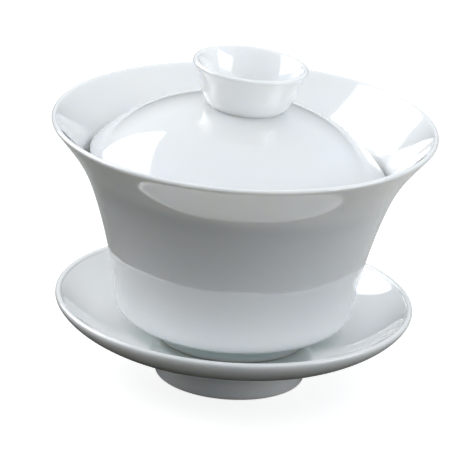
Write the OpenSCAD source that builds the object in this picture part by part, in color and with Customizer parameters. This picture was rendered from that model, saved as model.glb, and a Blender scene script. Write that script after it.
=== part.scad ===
// Covered tea bowl (gaiwan) in white glazed porcelain: a dished saucer, a tall bowl with a
// flared mouth, and a domed lid with a cup-shaped knob. Nothing fastens the three: the bowl
// stands in the saucer, and the lid hangs in the bowl's mouth, tipped a little.
// Millimetres, +Z up. The origin is the middle of the saucer's foot, on the table.

/* [Bowl] */
// Outside diameter of the bowl's mouth
rim_d = 103; // [92:1:126]
// Height of the bowl, from the bottom of its foot to the top of its lip
bowl_h = 60.5; // [50:0.5:74]
// Height of the flared mouth, from the neck up to the top of the lip
flare_h = 18.9; // [14:0.1:24]
// Outside diameter at the neck, where the flare starts
neck_d = 79.8; // [66:0.1:96]
// How much the wall leans out at the neck, for each millimetre of height
neck_lean = 0.38; // [0.2:0.01:0.5]
// Outside diameter of the body, just above its rounded bottom
body_d = 65; // [54:0.5:76]
// Height at which the rounded bottom starts, above the bottom of the foot
round_h = 11.9; // [9:0.1:16]
// Thickness of the bowl's wall
bowl_wall = 2.4; // [1.8:0.1:3.2]
// Thickness of the wall at the lip
bowl_lip = 1.5; // [1:0.1:2]
// Thickness of the bowl's floor
bowl_floor = 2.6; // [2:0.1:4]
// Outside diameter of the bowl's foot ring, at its bottom
foot_d = 40.4; // [32:0.1:50]
// Height of the bowl's foot ring
foot_h = 3.3; // [2.5:0.1:5]
// Width of the bowl's foot ring
foot_wall = 2.9; // [2:0.1:4]

/* [Saucer] */
// Outside diameter of the saucer
saucer_d = 96.4; // [80:0.1:118]
// Height of the saucer's lip above the table
saucer_h = 21.9; // [18:0.1:27]
// Thickness of the saucer
saucer_wall = 2.6; // [2:0.1:3.4]
// Thickness of the saucer at its lip
saucer_lip = 1.7; // [1.4:0.1:3]
// Outside diameter of the saucer's foot ring, at its bottom
saucer_foot_d = 40.4; // [32:0.1:50]
// Height of the saucer's foot ring
saucer_foot_h = 8; // [6:0.1:10]
// Width of the saucer's foot ring
saucer_foot_wall = 3; // [2:0.1:4]

/* [Lid] */
// Clearance between the lid's edge and the bowl's wall, on the radius
lid_gap = 0.85; // [0.7:0.05:2]
// Height above the neck at which the lid's edge hangs in the flare
lid_seat = 5.9; // [4:0.1:9]
// Height of the lid's dome, from its edge to its top
lid_h = 18.7; // [14:0.1:24]
// Thickness of the lid
lid_wall = 2.3; // [1.8:0.1:3]

/* [Knob] */
// Outside diameter of the knob at its lip
knob_d = 31; // [24:0.1:36]
// Height of the knob's lip above the top of the dome
knob_h = 10.7; // [9:0.1:14]
// Diameter of the knob below its flared lip
knob_waist_d = 26; // [20:0.1:30]
// Diameter of the knob where it meets the dome
knob_foot_d = 20.4; // [16:0.1:24.8]
// Thickness of the knob's wall
knob_wall = 2; // [1.4:0.1:2.6]

/* [How the pieces rest] */
// Clearance between pieces that rest on each other
rest_gap = 0.2; // [0.15:0.05:0.4]
// How far the lid is tipped down at its right side, in degrees
lid_tip_right = 3.5; // [0:0.1:4]
// How far the lid is tipped up at its front, in degrees
lid_tip_front = 1; // [0:0.1:3]

/* [Hidden] */
$fn = 96;

glaze = "#f2f4f3";
bisque = "#e6dfd2";

// A ring's foot spreads this much from its bottom to its top
foot_spread = 0.4;
// Rounding of the feet's bottom edges
foot_round = 0.6;
// Sides of the half-round on every lip
cap_n = 8;

// Heights of the stacked pieces
well_z = saucer_foot_h + saucer_wall;
bowl_z = well_z + rest_gap;
neck_z = bowl_z + bowl_h - flare_h;
lip_top = bowl_z + bowl_h;
knob_top = lid_h + knob_h;

// Points of a cubic curve from a to d, pulled towards b and c
function curve(a, b, c, d, n) = [for (i = [0:n]) let (t = i / n)
    a * pow(1 - t, 3) + 3 * b * t * pow(1 - t, 2) + 3 * c * t * t * (1 - t) + d * t * t * t];
// The same with b and c given as steps from a and from d
function bow(a, d, da, dd, n) = curve(a, a + da, d + dd, d, n);
// Curves end to end, each starting at the last one's end
function chain(list) = [
    for (k = [0:len(list) - 1])
        for (i = [(k == 0 ? 0 : 1):len(list[k]) - 1]) list[k][i]
];
function flip(p) = [for (i = [len(p) - 1:-1:0]) p[i]];
// Unit direction to the left of the line at its point i
function left(p, i) =
    let (d = p[min(i + 1, len(p) - 1)] - p[max(i - 1, 0)])
    [d[1], -d[0]] / norm(d);
// The line moved to its left by t0 at its start, growing to t1 by its point k
function inset(p, t0, t1, k) =
    [for (i = [0:len(p) - 1]) p[i] + (t0 + (t1 - t0) * min(1, i / k)) * left(p, i)];
// Half a circle from a to b, bulging to the left of the way from a to b
function cap(a, b) =
    let (c = (a + b) / 2, v = a - c, u = [v[1], -v[0]])
    [for (i = [1:cap_n - 1]) let (w = 180 * i / cap_n) c + cos(w) * v + sin(w) * u];

// Outlines of the bowl, from its lip down to its foot
lip_p = [rim_d / 2 - 0.1, lip_top - 1.1];
neck_p = [neck_d / 2, neck_z];
round_p = [body_d / 2, bowl_z + round_h];
sole_p = [foot_d / 2 + foot_spread, bowl_z + foot_h];
flare = lip_p - neck_p;
side = neck_p - round_p;
under = round_p - sole_p;
// The body's side leans this much above its rounded bottom
body_lean = 0.05;
bowl_out = chain([
    bow(lip_p, neck_p, -[0.39 * flare[0], 0.31 * flare[1]], 0.46 * flare[1] * [neck_lean, 1], 10),
    bow(neck_p, round_p, -0.35 * side[1] * [neck_lean, 1], 0.18 * side[1] * [body_lean, 1], 8),
    bow(round_p, sole_p, -0.52 * under[1] * [body_lean, 1], [0.87 * under[0], 0.35 * under[1]], 10)
]);
bowl_in = inset(bowl_out, bowl_lip, bowl_wall, 8);

// Outlines of the saucer, from its lip in to its foot
dish_p = [saucer_d / 2, saucer_h - saucer_lip / 2];
// The saucer stays flat out to the wider of the two feet, so that the bowl stands on its flat well
stem_p = [max(saucer_foot_d, foot_d) / 2 + foot_spread, saucer_foot_h];
dish = dish_p - stem_p;
saucer_out = bow(dish_p, stem_p, [0, -0.11 * dish[1]], [0.84 * dish[0], 0.33 * dish[1]], 16);
saucer_in = inset(saucer_out, saucer_lip, saucer_wall, 6);

// The lid hangs where the wall is as wide as it is, with the clearance between them
wall_line = [for (p = flip(bowl_in)) [p[1], p[0]]];
seat_z = neck_z + lid_seat;
lid_r = lookup(seat_z + lid_wall / 2, wall_line) - lid_gap;
seat_lean = (lookup(seat_z + 1, wall_line) - lookup(seat_z - 1, wall_line)) / 2;
// The tipped lid rides up the flare on its high side, and has slid back until it almost touches
lid_touch = 0.5;
lid_ride = seat_lean * lid_r * [sin(lid_tip_right), sin(lid_tip_front)];
lid_slide = [0, lid_gap - lid_touch] - lid_ride;

// Outlines of the lid, from its edge up to its top, before it is tipped
edge_p = [lid_r - 0.3, lid_wall];
crown_p = [0, lid_h];
rise = lid_h - lid_wall;
lid_out = curve(edge_p, edge_p + [-0.133 * edge_p[0], 0.36 * rise], [0.63 * edge_p[0], lid_h], crown_p, 16);
lid_in = [for (p = inset(lid_out, -lid_wall, -lid_wall, 1)) [max(p[0], 0), p[1]]];

// Outlines of the knob, from its lip a down past its waist m to the dome at d
dome_z = lookup(knob_foot_d / 2, flip(lid_out));
waist_z = knob_top - 0.58 * knob_h;
function knob_side(a, m, d, pull) =
    let (w = a[0] - m[0], h = a[1] - m[1], g = m[1] - d[1], s = m[0] - d[0])
    chain([
        bow(a, m, -[0.45 * w, 0.3 * h], [0.25 * w, 0.35 * h], 8),
        bow(m, d, -[0.16 * s, 0.35 * g], [pull[0] * s, pull[1] * g], 6)
    ]);
knob_out = knob_side([knob_d / 2 - 0.1, knob_top - 0.6], [knob_waist_d / 2, waist_z],
    [knob_foot_d / 2, dome_z], [0.5, 0.2]);
knob_in = knob_side([knob_d / 2 - 0.1 - 0.8 * knob_wall, knob_top],
    [knob_waist_d / 2 - knob_wall, waist_z],
    [knob_foot_d / 2 - knob_wall, dome_z], [0.5, 0.25]);

// Points around a foot's bottom corner at p, on its inner side (s = 1) or its outer side (s = -1)
function corner(p, s) = [
    for (i = [1:4])
        let (w = s < 0 ? 22.5 * i : 90 - 22.5 * (i - 1))
        p + foot_round * [s * (1 - cos(w)), 1 - sin(w)]
];
// A foot ring with rounded bottom edges, from z = 0 up to h
module foot_ring(d, h, wall) {
    r = d / 2;
    rotate_extrude() polygon(concat(
        [[r + foot_spread, h], [r, foot_round]],
        corner([r, 0], -1),
        corner([r - wall, 0], 1),
        [[r - wall, foot_round], [r - wall - foot_spread, h]]
    ));
}

module saucer() {
    color(glaze) rotate_extrude() polygon(concat(
        saucer_out, [[0, saucer_foot_h], [0, well_z]],
        flip(saucer_in), cap(saucer_in[0], saucer_out[0])
    ));
}

module saucer_foot_ring() {
    color(bisque) foot_ring(saucer_foot_d, saucer_foot_h, saucer_foot_wall);
}

module bowl() {
    color(glaze) rotate_extrude() polygon(concat(
        bowl_out, [[0, bowl_z + foot_h], [0, bowl_z + foot_h + bowl_floor]],
        flip(bowl_in), cap(bowl_in[0], bowl_out[0])
    ));
}

module bowl_foot_ring() {
    color(bisque) translate([0, 0, bowl_z]) foot_ring(foot_d, foot_h, foot_wall);
}

// Puts the lid's own frame, edge at z = 0, where the lid hangs in the bowl
module hung_lid() {
    translate([lid_slide[0], lid_slide[1], seat_z])
        rotate([-lid_tip_front, lid_tip_right, 0]) children();
}

module lid() {
    color(glaze) hung_lid() rotate_extrude() polygon(concat(
        flip(lid_out), cap(lid_out[0], lid_in[0]), lid_in
    ));
}

module lid_knob() {
    color(glaze) hung_lid() difference() {
        rotate_extrude() polygon(concat(
            knob_out, [[knob_foot_d / 2, dome_z - 1], [knob_foot_d / 2 - knob_wall, dome_z - 1]],
            flip(knob_in), cap(knob_in[0], knob_out[0])
        ));
        rotate_extrude() polygon(concat([[0, 0], [lid_r, 0]], lid_out));
    }
}

saucer();
saucer_foot_ring();
bowl();
bowl_foot_ring();
lid();
lid_knob();
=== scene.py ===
# %% [markdown]
# # A covered tea bowl in white porcelain
#
# A gaiwan is three loose pieces of thrown porcelain: a dished saucer, a tall bowl with a flared
# mouth, and a domed lid with a little cup for a knob. This lesson makes each piece the way that
# the potter does: one outline, turned once round an axis. Then it glazes them and lights them.
#
# The measured model is loaded first. It is the frame that everything has to fit.

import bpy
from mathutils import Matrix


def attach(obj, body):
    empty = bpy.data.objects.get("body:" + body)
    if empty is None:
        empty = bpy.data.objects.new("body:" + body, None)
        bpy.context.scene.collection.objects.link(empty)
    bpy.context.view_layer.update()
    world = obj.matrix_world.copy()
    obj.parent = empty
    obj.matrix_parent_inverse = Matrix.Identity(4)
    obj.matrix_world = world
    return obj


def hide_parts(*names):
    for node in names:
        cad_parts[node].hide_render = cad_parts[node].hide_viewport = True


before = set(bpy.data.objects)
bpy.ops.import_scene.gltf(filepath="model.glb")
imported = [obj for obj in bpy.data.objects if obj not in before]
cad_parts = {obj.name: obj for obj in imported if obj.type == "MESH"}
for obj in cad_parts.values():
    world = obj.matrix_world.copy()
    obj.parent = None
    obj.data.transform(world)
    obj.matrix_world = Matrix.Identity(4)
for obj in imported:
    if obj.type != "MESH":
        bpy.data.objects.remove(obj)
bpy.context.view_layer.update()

# %% Tools used throughout
import math

import bmesh
import bpy
from mathutils import Matrix, Quaternion, Vector
from mathutils.geometry import interpolate_bezier

scene = bpy.context.scene
MM = 0.001

# %% [markdown]
# ## The camera
#
# The bowl is seen from a little above, through a long lens from more than a metre away. That keeps
# the near and far halves of each rim almost the same size, so the circles are clean ellipses. The
# camera is held slightly out of level, which leans the bowl to the right.

# %% Camera
LENS_MM = 350.0
SENSOR_MM = 36.0
CAMERA_TILT = math.radians(3.76)
CAMERA_PLACE = (0.0, -1.1306, 0.4668)
LOOK_AT = Vector((-0.0018, -0.0094, 0.0439))
NEAREST, FARTHEST = 0.05, 20.0
camera_data = bpy.data.cameras.new("camera")
camera_data.lens = LENS_MM
camera_data.sensor_width = SENSOR_MM
camera_data.clip_start = NEAREST
camera_data.clip_end = FARTHEST
camera = bpy.data.objects.new("camera", camera_data)
scene.collection.objects.link(camera)
camera.location = CAMERA_PLACE
camera.rotation_mode = "QUATERNION"
facing = (LOOK_AT - camera.location).to_track_quat("-Z", "Y")
camera.rotation_quaternion = facing @ Quaternion((0, 0, 1), CAMERA_TILT)
scene.camera = camera
print("camera", round((LOOK_AT - camera.location).length, 3), "m away")

# %% [markdown]
# ## Drawing an outline
#
# A thrown pot is described by its outline: the line that a rib would follow on the wheel. It is
# drawn here as Bezier curves with x as the radius and z as the height, in millimetres. Blender's
# own Bezier interpolation gives the points, so a curve needs only its ends and two handles.
#
# A wall has a second line inside the first. It could come from a Solidify modifier, but porcelain
# is drawn thinner at the lip than at the foot, so the inner line is stepped in by a thickness
# that changes along the way. Its tight bends are then eased, as the potter eases them with a wet
# sponge, because a glossy glaze would show each of them as a second bright line.


# %% Outline helpers
def bezier(start, handle1, handle2, end, points):
    """Points of one Bezier stretch, as (radius, height) vectors."""
    ends = [Vector((p[0], 0.0, p[1])) for p in (start, handle1, handle2, end)]
    return [Vector((p.x, p.z)) for p in interpolate_bezier(*ends, points)]


def joined(*stretches):
    """Stretches end to end, without the doubled point where two meet."""
    line = list(stretches[0])
    for stretch in stretches[1:]:
        line += stretch[1:]
    return line


def side_of(line, i):
    """Unit vector square to the line at its point i, to the right of the way it runs."""
    along = line[min(i + 1, len(line) - 1)] - line[max(i - 1, 0)]
    return Vector((along.y, -along.x)).normalized()


def inner_line(line, lip, wall, reach):
    """The line stepped in by lip at its start, growing to wall by its point reach."""
    moved = []
    for i, point in enumerate(line):
        thickness = lip + (wall - lip) * min(1.0, i / reach)
        moved.append(point + side_of(line, i) * thickness)
    return moved


def relaxed(line, rounds):
    """The line with its tight bends eased. Its two ends stay where they are."""
    for _ in range(rounds):
        eased = [(a + 2.0 * b + c) / 4.0 for a, b, c in zip(line, line[1:], line[2:])]
        line = [line[0]] + eased + [line[-1]]
    return line


def rounded_lip(outer, inner, points=9):
    """A half round from the outer line's first point over to the inner line's first point."""
    across = outer[0] - inner[0]
    half_round_pull = 2.0 / 3.0
    out = Vector((-across.y, across.x)) * half_round_pull
    if out.dot(outer[0] - outer[1]) < 0:
        out = -out
    return bezier(outer[0], outer[0] + out, inner[0] + out, inner[0], points)


# %% [markdown]
# ## Throwing a piece
#
# Spinning the outline round the axis is the wheel. The full spin merges its last step with its
# first, the points on the axis are merged into one pole, and the faces are turned outwards. One
# level of subdivision then smooths what little faceting is left, because a mirror-like glaze
# shows every facet.


# %% Throwing helper
SPIN_STEPS = 96
MERGE_DISTANCE = 1e-6
SHORTEST_EDGE = 1e-7


def throw(name, outline, closed=False, place=None):
    """A solid of revolution from an outline in millimetres, set in place."""
    bm = bmesh.new()
    verts = [bm.verts.new((p.x * MM, 0.0, p.y * MM)) for p in outline]
    for a, b in zip(verts, verts[1:]):
        bm.edges.new((a, b))
    if closed:
        bm.edges.new((verts[-1], verts[0]))
    bmesh.ops.spin(
        bm,
        geom=bm.verts[:] + bm.edges[:],
        cent=(0, 0, 0),
        axis=(0, 0, 1),
        angle=math.tau,
        steps=SPIN_STEPS,
        use_merge=True,
    )
    bmesh.ops.remove_doubles(bm, verts=bm.verts[:], dist=MERGE_DISTANCE)
    bmesh.ops.dissolve_degenerate(bm, edges=bm.edges[:], dist=SHORTEST_EDGE)
    bmesh.ops.recalc_face_normals(bm, faces=bm.faces[:])
    if place is not None:
        bmesh.ops.transform(bm, matrix=place, verts=bm.verts[:])
    mesh = bpy.data.meshes.new(name)
    bm.to_mesh(mesh)
    open_edges = sum(1 for e in bm.edges if not e.is_manifold)
    bm.free()
    mesh.shade_smooth()
    piece = bpy.data.objects.new(name, mesh)
    scene.collection.objects.link(piece)
    smooth = piece.modifiers.new("smooth", "SUBSURF")
    smooth.levels = smooth.render_levels = 1
    print(name, len(mesh.polygons), "faces,", open_edges, "open edges")
    return piece


# %% [markdown]
# ## The saucer
#
# The saucer is a shallow dish on a tall foot ring. Its side rises in one sweep from the foot to
# the lip, steeper as it goes. In the middle is a flat well, where the bowl stands. An extra circle
# halfway in keeps the well flat when the subdivision smooths it.

# %% Saucer dish
SAUCER_FOOT_H = 8.0
SAUCER_WALL = 2.6
SAUCER_LIP = 1.7
WELL_RING = 10.0
saucer_lip = Vector((48.2, 21.05))
saucer_stem = Vector((20.6, SAUCER_FOOT_H))
saucer_outer = bezier(saucer_lip, (48.2, 19.61), (43.78, 12.31), saucer_stem, 22)
saucer_inner = relaxed(inner_line(saucer_outer, SAUCER_LIP, SAUCER_WALL, 8), 5)
well_z = SAUCER_FOOT_H + SAUCER_WALL
saucer = throw(
    "saucer_dish",
    [Vector((0, well_z)), Vector((WELL_RING, well_z))]
    + saucer_inner[::-1]
    + rounded_lip(saucer_outer, saucer_inner)[::-1][1:]
    + saucer_outer[1:]
    + [Vector((WELL_RING, SAUCER_FOOT_H)), Vector((0, SAUCER_FOOT_H))],
)

# %% [markdown]
# ## The foot rings
#
# A foot ring is turned from the thick base when the clay is leather-hard. It is a plain band with
# softened standing edges, a little wider where it meets the pot. Both rings are closed outlines,
# so the spin gives each one as a ring of its own. Its top reaches a hair into the pot above it,
# as the real one does, because the two are one clay.

# %% Foot rings
FOOT_EDGE = 0.6
FOOT_EDGE_PULL = 0.33
FOOT_SPREAD = 0.4
FOOT_FILLET = 0.5
FOOT_SINK = 0.5
EDGE_POINTS = 5
SIDE_POINTS = 8


def foot_outline(radius, wall, low, high):
    """A band with rounded standing edges and a small hollow fillet at its top."""
    inside = radius - wall
    edge_top = low + FOOT_EDGE
    edge_bend = edge_top - FOOT_EDGE_PULL
    outer_edge = bezier(
        (radius, edge_top),
        (radius, edge_bend),
        (radius - FOOT_EDGE_PULL, low),
        (radius - FOOT_EDGE, low),
        EDGE_POINTS,
    )
    inner_edge = bezier(
        (inside + FOOT_EDGE, low),
        (inside + FOOT_EDGE_PULL, low),
        (inside, edge_bend),
        (inside, edge_top),
        EDGE_POINTS,
    )
    outer_side = bezier(
        (radius + FOOT_SPREAD + FOOT_FILLET, high),
        (radius + FOOT_SPREAD, high),
        (radius + FOOT_SPREAD, high - FOOT_FILLET),
        (radius, edge_top),
        SIDE_POINTS,
    )
    inner_side = bezier(
        (inside, edge_top),
        (inside - FOOT_SPREAD, high - FOOT_FILLET),
        (inside - FOOT_SPREAD, high),
        (inside - FOOT_SPREAD - FOOT_FILLET, high),
        SIDE_POINTS,
    )
    top = [
        Vector((inside - FOOT_SPREAD - FOOT_FILLET, high + FOOT_SINK)),
        Vector((radius + FOOT_SPREAD + FOOT_FILLET, high + FOOT_SINK)),
    ]
    return joined(outer_side, outer_edge) + joined(inner_edge, inner_side) + top


FOOT_RADIUS = 20.2
SAUCER_FOOT_WALL = 3.0
saucer_ring = foot_outline(FOOT_RADIUS, SAUCER_FOOT_WALL, 0.0, SAUCER_FOOT_H)
saucer_foot = throw("saucer_foot", saucer_ring, closed=True)

# %% [markdown]
# ## The bowl
#
# The bowl's side climbs almost straight from a tightly rounded bottom, leans out at the neck and
# then opens in a trumpet flare. The neck matters most: the lid hangs a little above it. The wall
# is drawn out to a thin lip, which catches a bright line of light.

# %% Bowl
BOWL_Z = 10.8
BOWL_FOOT_H = 3.3
BOWL_FOOT_WALL = 2.9
BOWL_LIP = 1.5
BOWL_WALL = 2.4
BOWL_FLOOR = 2.6
NECK_Z = 52.4
bowl_lip = Vector((51.4, 70.2))
bowl_neck = Vector((39.9, NECK_Z))
bowl_turn = Vector((32.5, 22.7))
bowl_sole = Vector((20.6, BOWL_Z + BOWL_FOOT_H))
bowl_outer = joined(
    bezier(bowl_lip, (46.92, 64.68), (43.01, 60.59), bowl_neck, 15),
    bezier(bowl_neck, (35.95, 42.01), (32.77, 28.05), bowl_turn, 12),
    bezier(bowl_turn, (32.28, 18.23), (30.95, 17.11), bowl_sole, 15),
)
bowl_inner = relaxed(inner_line(bowl_outer, BOWL_LIP, BOWL_WALL, 11), 3)
floor_z = BOWL_Z + BOWL_FOOT_H + BOWL_FLOOR
bowl = throw(
    "bowl_body",
    [Vector((0, floor_z)), Vector((WELL_RING, floor_z))]
    + bowl_inner[::-1]
    + rounded_lip(bowl_outer, bowl_inner)[::-1][1:]
    + bowl_outer[1:]
    + [Vector((WELL_RING, bowl_sole.y)), Vector((0, bowl_sole.y))],
)
bowl_ring = foot_outline(FOOT_RADIUS, BOWL_FOOT_WALL, BOWL_Z, BOWL_Z + BOWL_FOOT_H)
bowl_foot = throw("bowl_foot", bowl_ring, closed=True)

# %% [markdown]
# ## The lid and its knob
#
# The lid is a low dome with a rounded edge. It hangs in the flare where the wall is as wide as it
# is, and lies there loosely, so it never sits quite level: it is tipped down at the right and up
# at the front. On the high side the flare is wider, so the lid also slides that way. Both pieces
# are thrown upright on the axis and then carried to their place by one matrix, so that they keep
# to each other exactly.

# %% Where the lid hangs
LID_TIP_RIGHT = math.radians(3.5)
LID_TIP_FRONT = math.radians(1.0)
LID_PLACE = Vector((-1.36, -0.04, 58.3))
hung = (
    Matrix.Translation(LID_PLACE * MM)
    @ Matrix.Rotation(LID_TIP_RIGHT, 4, "Y")
    @ Matrix.Rotation(-LID_TIP_FRONT, 4, "X")
)

# %% Lid
LID_H = 18.7
LID_WALL = 2.3
lid_edge = Vector((39.47, LID_WALL))
lid_outer = bezier(lid_edge, (34.22, 8.2), (24.86, LID_H), (0.0, LID_H), 30)
lid_inner = [p - side_of(lid_outer, i) * LID_WALL for i, p in enumerate(lid_outer)]
lid_inner[-1].x = 0.0
lid = throw(
    "lid_dome",
    lid_inner[::-1] + rounded_lip(lid_outer, lid_inner)[::-1][1:] + lid_outer[1:],
    place=hung,
)

# %% [markdown]
# The knob is a small cup on top of the dome: tucked in at its foot, then opening evenly up to a
# thin lip. When the lid is laid on the table upside down, this cup is its foot.

# %% Knob
KNOB_H = 10.7
KNOB_TOP = LID_H + KNOB_H
KNOB_LIP_DROP = 0.6
WAIST_Z = KNOB_TOP - 0.58 * KNOB_H
KNOB_FOOT_Z = 18.0
KNOB_SINK = 0.8


def knob_line(lip, waist, foot, pull):
    """One side of the knob's wall, from its lip past its waist to the dome.

    pull: how far up the tuck at the foot reaches, as a share of the height below the waist.
    """
    flare = lip - waist
    stem = waist - foot
    under_lip = lip - Vector((0.45 * flare.x, 0.3 * flare.y))
    over_waist = waist + Vector((0.25 * flare.x, 0.35 * flare.y))
    under_waist = waist - Vector((0.16 * stem.x, 0.35 * stem.y))
    over_foot = foot + Vector((0.5 * stem.x, pull * stem.y))
    return joined(
        bezier(lip, under_lip, over_waist, waist, 12),
        bezier(waist, under_waist, over_foot, foot, 9),
    )


knob_rim = Vector((15.4, KNOB_TOP - KNOB_LIP_DROP))
knob_foot = Vector((10.2, KNOB_FOOT_Z))
knob_outer = knob_line(knob_rim, Vector((13.0, WAIST_Z)), knob_foot, 0.2)
cup_mouth = Vector((13.8, KNOB_TOP))
cup_floor = Vector((8.2, KNOB_FOOT_Z))
knob_inner = knob_line(cup_mouth, Vector((11.0, WAIST_Z)), cup_floor, 0.25)
sunk = Vector((0.0, KNOB_SINK))
knob = throw(
    "lid_knob_cup",
    [cup_floor - sunk]
    + knob_inner[::-1]
    + rounded_lip(knob_outer, knob_inner)[::-1][1:]
    + knob_outer[1:]
    + [knob_foot - sunk],
    closed=True,
    place=hung,
)

# %% [markdown]
# ## The glaze
#
# White porcelain under a clear glaze is never one flat white. Where light is shut in, under the
# bowl and round the feet, its shade is painted into the colour as a pale sea green. The surface
# rises and falls by hundredths of a millimetre, which bends every reflection a little, and a few
# iron specks
# burn through. So the recipe has these layers:
#
# * a body colour that drifts very slightly from warm to cool,
# * a painted sea-green shade where light is shut in, under the bowl and round the feet,
# * sparse specks,
# * a slow unevenness and a fine orange peel in the bump,
# * a little light that goes into the clay and out again, which lets the thin lips glow,
# * a glassy clear coat over the whole.
#
# All the patterns read Object coordinates, so they are fixed to the clay and keep their real size.
# The scale of a texture is roughly how many of its spots fit side by side in a metre.


# %% Node helpers
def node(tree, kind, inputs=None, **settings):
    """One node, with its settings and its input values."""
    made = tree.nodes.new(kind)
    for key, value in settings.items():
        setattr(made, key, value)
    for key, value in (inputs or {}).items():
        if isinstance(value, bpy.types.NodeSocket):
            tree.links.new(value, made.inputs[key])
        else:
            made.inputs[key].default_value = value
    return made


def math_node(tree, operation, a, b=0.0):
    return node(tree, "ShaderNodeMath", {0: a, 1: b}, operation=operation).outputs[0]


def ramp01(tree, value, low, high):
    """A smooth step: 0 at low, 1 at high. Low may be above high."""
    return node(
        tree,
        "ShaderNodeMapRange",
        {"Value": value, "From Min": low, "From Max": high, "To Min": 0.0, "To Max": 1.0},
        interpolation_type="SMOOTHSTEP",
    ).outputs["Result"]


def noise(tree, place, scale, detail, roughness):
    """A cloudy pattern between 0 and 1."""
    inputs = {"Vector": place, "Scale": scale, "Detail": detail, "Roughness": roughness}
    return node(tree, "ShaderNodeTexNoise", inputs).outputs["Fac"]


def blend_colour(tree, amount, a, b):
    """Colour a where amount is 0, colour b where it is 1."""
    mixed = node(tree, "ShaderNodeMix", data_type="RGBA")
    for socket, value in ((0, amount), (6, a), (7, b)):
        if isinstance(value, bpy.types.NodeSocket):
            tree.links.new(value, mixed.inputs[socket])
        else:
            mixed.inputs[socket].default_value = value
    return mixed.outputs[2]


# %% Glaze recipe
WHITE = (0.870, 0.890, 0.905, 1.0)
WARM_WHITE = (0.890, 0.892, 0.885, 1.0)
# The next colour is painted shade: a sea green laid where light is shut in.
SHADE_TEAL = (0.70, 0.81, 0.785, 1.0)
SPECK = (0.30, 0.25, 0.20, 1.0)
BARE_CLAY = (0.74, 0.68, 0.60, 1.0)
PALE_CLAY = (0.83, 0.79, 0.73, 1.0)
DRIFT_SCALE = 28.0
SPECK_SCALE = 260.0
UNEVEN_SCALE = 45.0
PEEL_SCALE = 900.0
PATCH_SCALE = 120.0
GRAIN_SCALE = 2600.0
TINT_AND_BARE_WANDER = 0.006
SPECK_RARITY = 0.993
SPECK_DEPTH = 0.55
PEEL_HEIGHT = 0.006
GRAIN_HEIGHT = 0.05
BARE_EDGE = 0.00018


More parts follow.
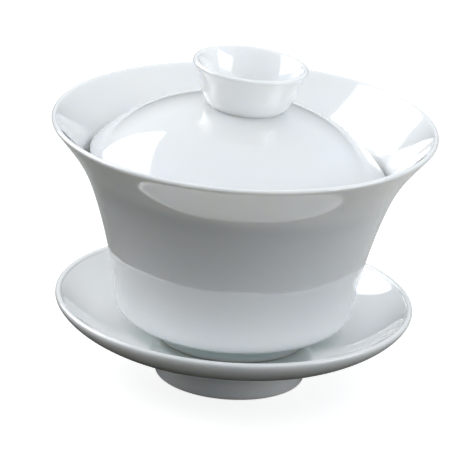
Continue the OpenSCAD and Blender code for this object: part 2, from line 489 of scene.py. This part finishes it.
def glaze(name, shade_tints=(), bare_below=None, seed=0.0, through=0.8):
    """Clear gloss glaze on white porcelain.

    shade_tints: (axis, full, none, strength) rows of painted sea-green shade; the tint is full at
    one place and gone at the other.
    axis is "radius" for the distance from the middle, or "height".
    bare_below: height under which the clay is wiped clean of glaze.
    through: how much of the light goes into the clay and out again, strongest where it is thin.
    """
    material = bpy.data.materials.new(name)
    material.use_nodes = True
    tree = material.node_tree
    tree.nodes.clear()
    place = node(tree, "ShaderNodeTexCoord").outputs["Object"]
    shift = {"Vector": place, "Location": (seed, seed, 0.0)}
    shifted = node(tree, "ShaderNodeMapping", shift).outputs[0]
    apart = node(tree, "ShaderNodeSeparateXYZ", {"Vector": place}).outputs
    height = apart["Z"]
    flat = node(tree, "ShaderNodeCombineXYZ", {"X": apart["X"], "Y": apart["Y"]}).outputs[0]
    radius = node(tree, "ShaderNodeVectorMath", {0: flat}, operation="LENGTH").outputs["Value"]

    drift = noise(tree, shifted, DRIFT_SCALE, 3.0, 0.55)
    colour = blend_colour(tree, ramp01(tree, drift, 0.35, 0.7), WHITE, WARM_WHITE)

    off_middle = math_node(tree, "SUBTRACT", drift, 0.5)
    wander = math_node(tree, "MULTIPLY", off_middle, TINT_AND_BARE_WANDER)
    # Painted shade: each row lays the sea green where light is shut in, under the bowl and round
    # the feet.
    for axis, full, none, strength in shade_tints:
        along = math_node(tree, "ADD", radius if axis == "radius" else height, wander)
        amount = math_node(tree, "MULTIPLY", ramp01(tree, along, none, full), strength)
        colour = blend_colour(tree, amount, colour, SHADE_TEAL)

    grid = {"Vector": shifted, "Scale": SPECK_SCALE, "Randomness": 1.0}
    cells = node(tree, "ShaderNodeTexVoronoi", grid).outputs
    dot = ramp01(tree, cells["Distance"], 0.055, 0.03)
    chance = node(tree, "ShaderNodeSeparateColor", {0: cells["Color"]}).outputs[0]
    rare = math_node(tree, "GREATER_THAN", chance, SPECK_RARITY)
    speck = math_node(tree, "MULTIPLY", math_node(tree, "MULTIPLY", dot, rare), SPECK_DEPTH)
    colour = blend_colour(tree, speck, colour, SPECK)

    uneven = noise(tree, shifted, UNEVEN_SCALE, 1.0, 0.4)
    peel = noise(tree, shifted, PEEL_SCALE, 2.0, 0.5)
    relief = math_node(tree, "ADD", uneven, math_node(tree, "MULTIPLY", peel, PEEL_HEIGHT))
    patches = noise(tree, shifted, PATCH_SCALE, 4.0, 0.6)
    gloss = {"Value": patches, "From Min": 0.3, "From Max": 0.75, "To Min": 0.05, "To Max": 0.13}
    rough = node(tree, "ShaderNodeMapRange", gloss).outputs["Result"]

    shader = node(tree, "ShaderNodeBsdfPrincipled")
    shader.inputs["IOR"].default_value = 1.6
    shader.inputs["Coat IOR"].default_value = 1.7
    shader.inputs["Coat Roughness"].default_value = 0.05
    shader.inputs["Coat Weight"].default_value = 1.0
    shader.inputs["Subsurface Weight"].default_value = through
    shader.inputs["Subsurface Radius"].default_value = (1.0, 0.93, 0.80)
    shader.inputs["Subsurface Scale"].default_value = 0.0035
    if bare_below is not None:
        frayed = math_node(tree, "ADD", height, math_node(tree, "MULTIPLY", wander, 0.15))
        bare = ramp01(tree, frayed, bare_below + BARE_EDGE, bare_below - BARE_EDGE)
        grain = noise(tree, shifted, GRAIN_SCALE, 5.0, 0.7)
        clay = blend_colour(tree, ramp01(tree, grain, 0.3, 0.75), BARE_CLAY, PALE_CLAY)
        colour = blend_colour(tree, bare, colour, clay)
        rough = math_node(tree, "ADD", rough, math_node(tree, "MULTIPLY", bare, 0.75))
        bare_grain = math_node(tree, "MULTIPLY", grain, bare)
        grit = math_node(tree, "MULTIPLY", bare_grain, GRAIN_HEIGHT)
        relief = math_node(tree, "ADD", relief, grit)
        tree.links.new(math_node(tree, "SUBTRACT", 1.0, bare), shader.inputs["Coat Weight"])
    bump = node(tree, "ShaderNodeBump", {"Height": relief, "Strength": 0.35, "Distance": 0.0006})
    tree.links.new(colour, shader.inputs["Base Color"])
    tree.links.new(rough, shader.inputs["Roughness"])
    tree.links.new(bump.outputs["Normal"], shader.inputs["Normal"])
    tree.links.new(bump.outputs["Normal"], shader.inputs["Coat Normal"])
    out = node(tree, "ShaderNodeOutputMaterial")
    tree.links.new(shader.outputs[0], out.inputs["Surface"])
    print(name, len(tree.nodes), "nodes")
    return material


# %% [markdown]
# A painted sea-green shade lies where light is shut in: in the saucer's well under the bowl, where
# it also stands for the bowl's reflection, on the bowl's rounded bottom, and at the tops of both
# foot rings, under the pot above. The standing edge of each foot is wiped clean before firing, or
# the pot would stick to the kiln shelf, and stays bare clay. The saucer is the thickest piece, so
# it lets the least light through.

# %% Glaze each piece
finishes = {
    # The tint rows below paint shade: in the saucer's well under the bowl, also standing for the
    # bowl's reflection there, on the bowl's bottom, and at the tops of both feet.
    saucer: glaze(
        "saucer_glaze", shade_tints=[("radius", 0.024, 0.030, 0.85)], seed=0.1, through=0.35
    ),
    saucer_foot: glaze(
        "saucer_foot_glaze", shade_tints=[("height", 0.0078, 0.0055, 0.5)], bare_below=0.0007, seed=0.2
    ),
    bowl: glaze("bowl_glaze", shade_tints=[("height", 0.0140, 0.0168, 0.5)], seed=0.3),
    bowl_foot: glaze(
        "bowl_foot_glaze", shade_tints=[("height", 0.0135, 0.0118, 0.8)], bare_below=0.0115, seed=0.4
    ),
    lid: glaze("lid_glaze", seed=0.5),
    knob: glaze("knob_glaze", seed=0.6),
}
for piece, finish in finishes.items():
    piece.data.materials.append(finish)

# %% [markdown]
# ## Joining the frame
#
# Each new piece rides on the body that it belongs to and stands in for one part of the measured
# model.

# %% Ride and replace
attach(saucer, "saucer")
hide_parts("saucer")
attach(saucer_foot, "saucer")
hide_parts("saucer_foot_ring")
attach(bowl, "bowl")
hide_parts("bowl")
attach(bowl_foot, "bowl")
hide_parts("bowl_foot_ring")
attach(lid, "lid")
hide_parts("lid")
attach(knob, "lid")
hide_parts("lid_knob")

# %% [markdown]
# ## The studio
#
# Porcelain is lit by what surrounds it. A tall window on the left, a little behind, puts the white
# panes on the lid and in the saucer, and a weaker soft light low on the right keeps that flank
# open. There is no lamp in front, which turns the outside of the bowl a soft grey.
#
# The table plays two parts. The camera sees it as plain white paper. Reflections and bounced
# light see a darker table, palest at the back and on the right, so the undersides stay dark and
# the form reads. A Light Path node tells the two apart.

# %% Table
TABLE_RADIUS = 4.0
TABLE_SEEN = (0.5, 0.5, 0.5, 1.0)
TABLE_GLOW = 0.78
TABLE_NEAR = (0.075, 0.074, 0.062, 1.0)
TABLE_FAR = (0.50, 0.50, 0.48, 1.0)
TOWARDS_FAR = (0.7, 1.0, 0.0)

bm = bmesh.new()
bmesh.ops.create_circle(bm, cap_ends=True, segments=96, radius=TABLE_RADIUS)
table_mesh = bpy.data.meshes.new("table_top")
bm.to_mesh(table_mesh)
bm.free()
table_top = bpy.data.objects.new("table_top", table_mesh)
scene.collection.objects.link(table_top)

table_paint = bpy.data.materials.new("table_paint")
table_paint.use_nodes = True
tree = table_paint.node_tree
tree.nodes.clear()
paper = node(tree, "ShaderNodeBsdfDiffuse", {"Color": TABLE_SEEN}).outputs[0]
white = {"Color": (1, 1, 1, 1), "Strength": TABLE_GLOW}
glow = node(tree, "ShaderNodeEmission", white).outputs[0]
bright = node(tree, "ShaderNodeAddShader", {0: paper, 1: glow}).outputs[0]
where = node(tree, "ShaderNodeTexCoord").outputs["Object"]
away = node(tree, "ShaderNodeVectorMath", {0: where, 1: TOWARDS_FAR}, operation="DOT_PRODUCT")
paler = ramp01(tree, away.outputs["Value"], -0.06, 0.14)
shade = blend_colour(tree, paler, TABLE_NEAR, TABLE_FAR)
given_back = node(tree, "ShaderNodeBsdfDiffuse", {"Color": shade}).outputs[0]
is_seen = node(tree, "ShaderNodeLightPath").outputs["Is Camera Ray"]
both = node(tree, "ShaderNodeMixShader", {0: is_seen, 1: given_back, 2: bright}).outputs[0]
node(tree, "ShaderNodeOutputMaterial", {"Surface": both})
table_mesh.materials.append(table_paint)
print("table", len(tree.nodes), "nodes")

# %% Lights
AIM = Vector((0.0, 0.0, 0.045))
LIGHT_DISTANCE = 1.6


def soft_light(name, direction, size, radiance, colour):
    """A rectangular soft light that faces the bowl. Radiance is what a mirror would show."""
    data = bpy.data.lights.new(name, "AREA")
    data.shape = "RECTANGLE"
    data.size, data.size_y = size
    data.energy = radiance * math.pi * size[0] * size[1]
    data.color = colour
    lamp = bpy.data.objects.new(name, data)
    scene.collection.objects.link(lamp)
    lamp.location = AIM + Vector(direction).normalized() * LIGHT_DISTANCE
    lamp.rotation_euler = (AIM - lamp.location).to_track_quat("-Z", "Y").to_euler()
    print(name, tuple(round(v, 2) for v in lamp.location), round(data.energy, 1), "W")


soft_light("window_left", (-0.80, 0.34, 0.50), (1.7, 1.2), 2.3, (1.0, 0.995, 0.985))
soft_light("fill_right", (0.85, -0.30, 0.28), (1.1, 0.8), 2.0, (0.97, 0.985, 1.0))

# %% [markdown]
# The rest of the light comes from the room, a pale blue-white that is dim at table height and
# bright from a little way up. It is slightly stronger from the right and from behind.

# %% Room
ROOM_COLOUR = (0.915, 0.96, 1.0, 1.0)
ROOM_LOW, ROOM_HIGH = 0.24, 0.88
FULL_HEIGHT = 0.4
LOPSIDED = (0.13, 0.08, 0.0)
ROOM_LEAST = 0.05

world = bpy.data.worlds.new("room")
world.use_nodes = True
tree = world.node_tree
way = node(tree, "ShaderNodeTexCoord").outputs["Generated"]
up = node(tree, "ShaderNodeSeparateXYZ", {"Vector": way}).outputs["Z"]
rise = {"Value": up, "From Max": FULL_HEIGHT, "To Min": ROOM_LOW, "To Max": ROOM_HIGH}
sky = node(tree, "ShaderNodeMapRange", rise).outputs["Result"]
aside = node(tree, "ShaderNodeVectorMath", {0: way, 1: LOPSIDED}, operation="DOT_PRODUCT")
level = math_node(tree, "MAXIMUM", math_node(tree, "ADD", sky, aside.outputs["Value"]), ROOM_LEAST)
room = tree.nodes["Background"]
room.inputs["Color"].default_value = ROOM_COLOUR
tree.links.new(level, room.inputs["Strength"])
scene.world = world
scene.view_settings.view_transform = "Standard"
print("room", ROOM_LOW, "at table height,", ROOM_HIGH, "overhead")
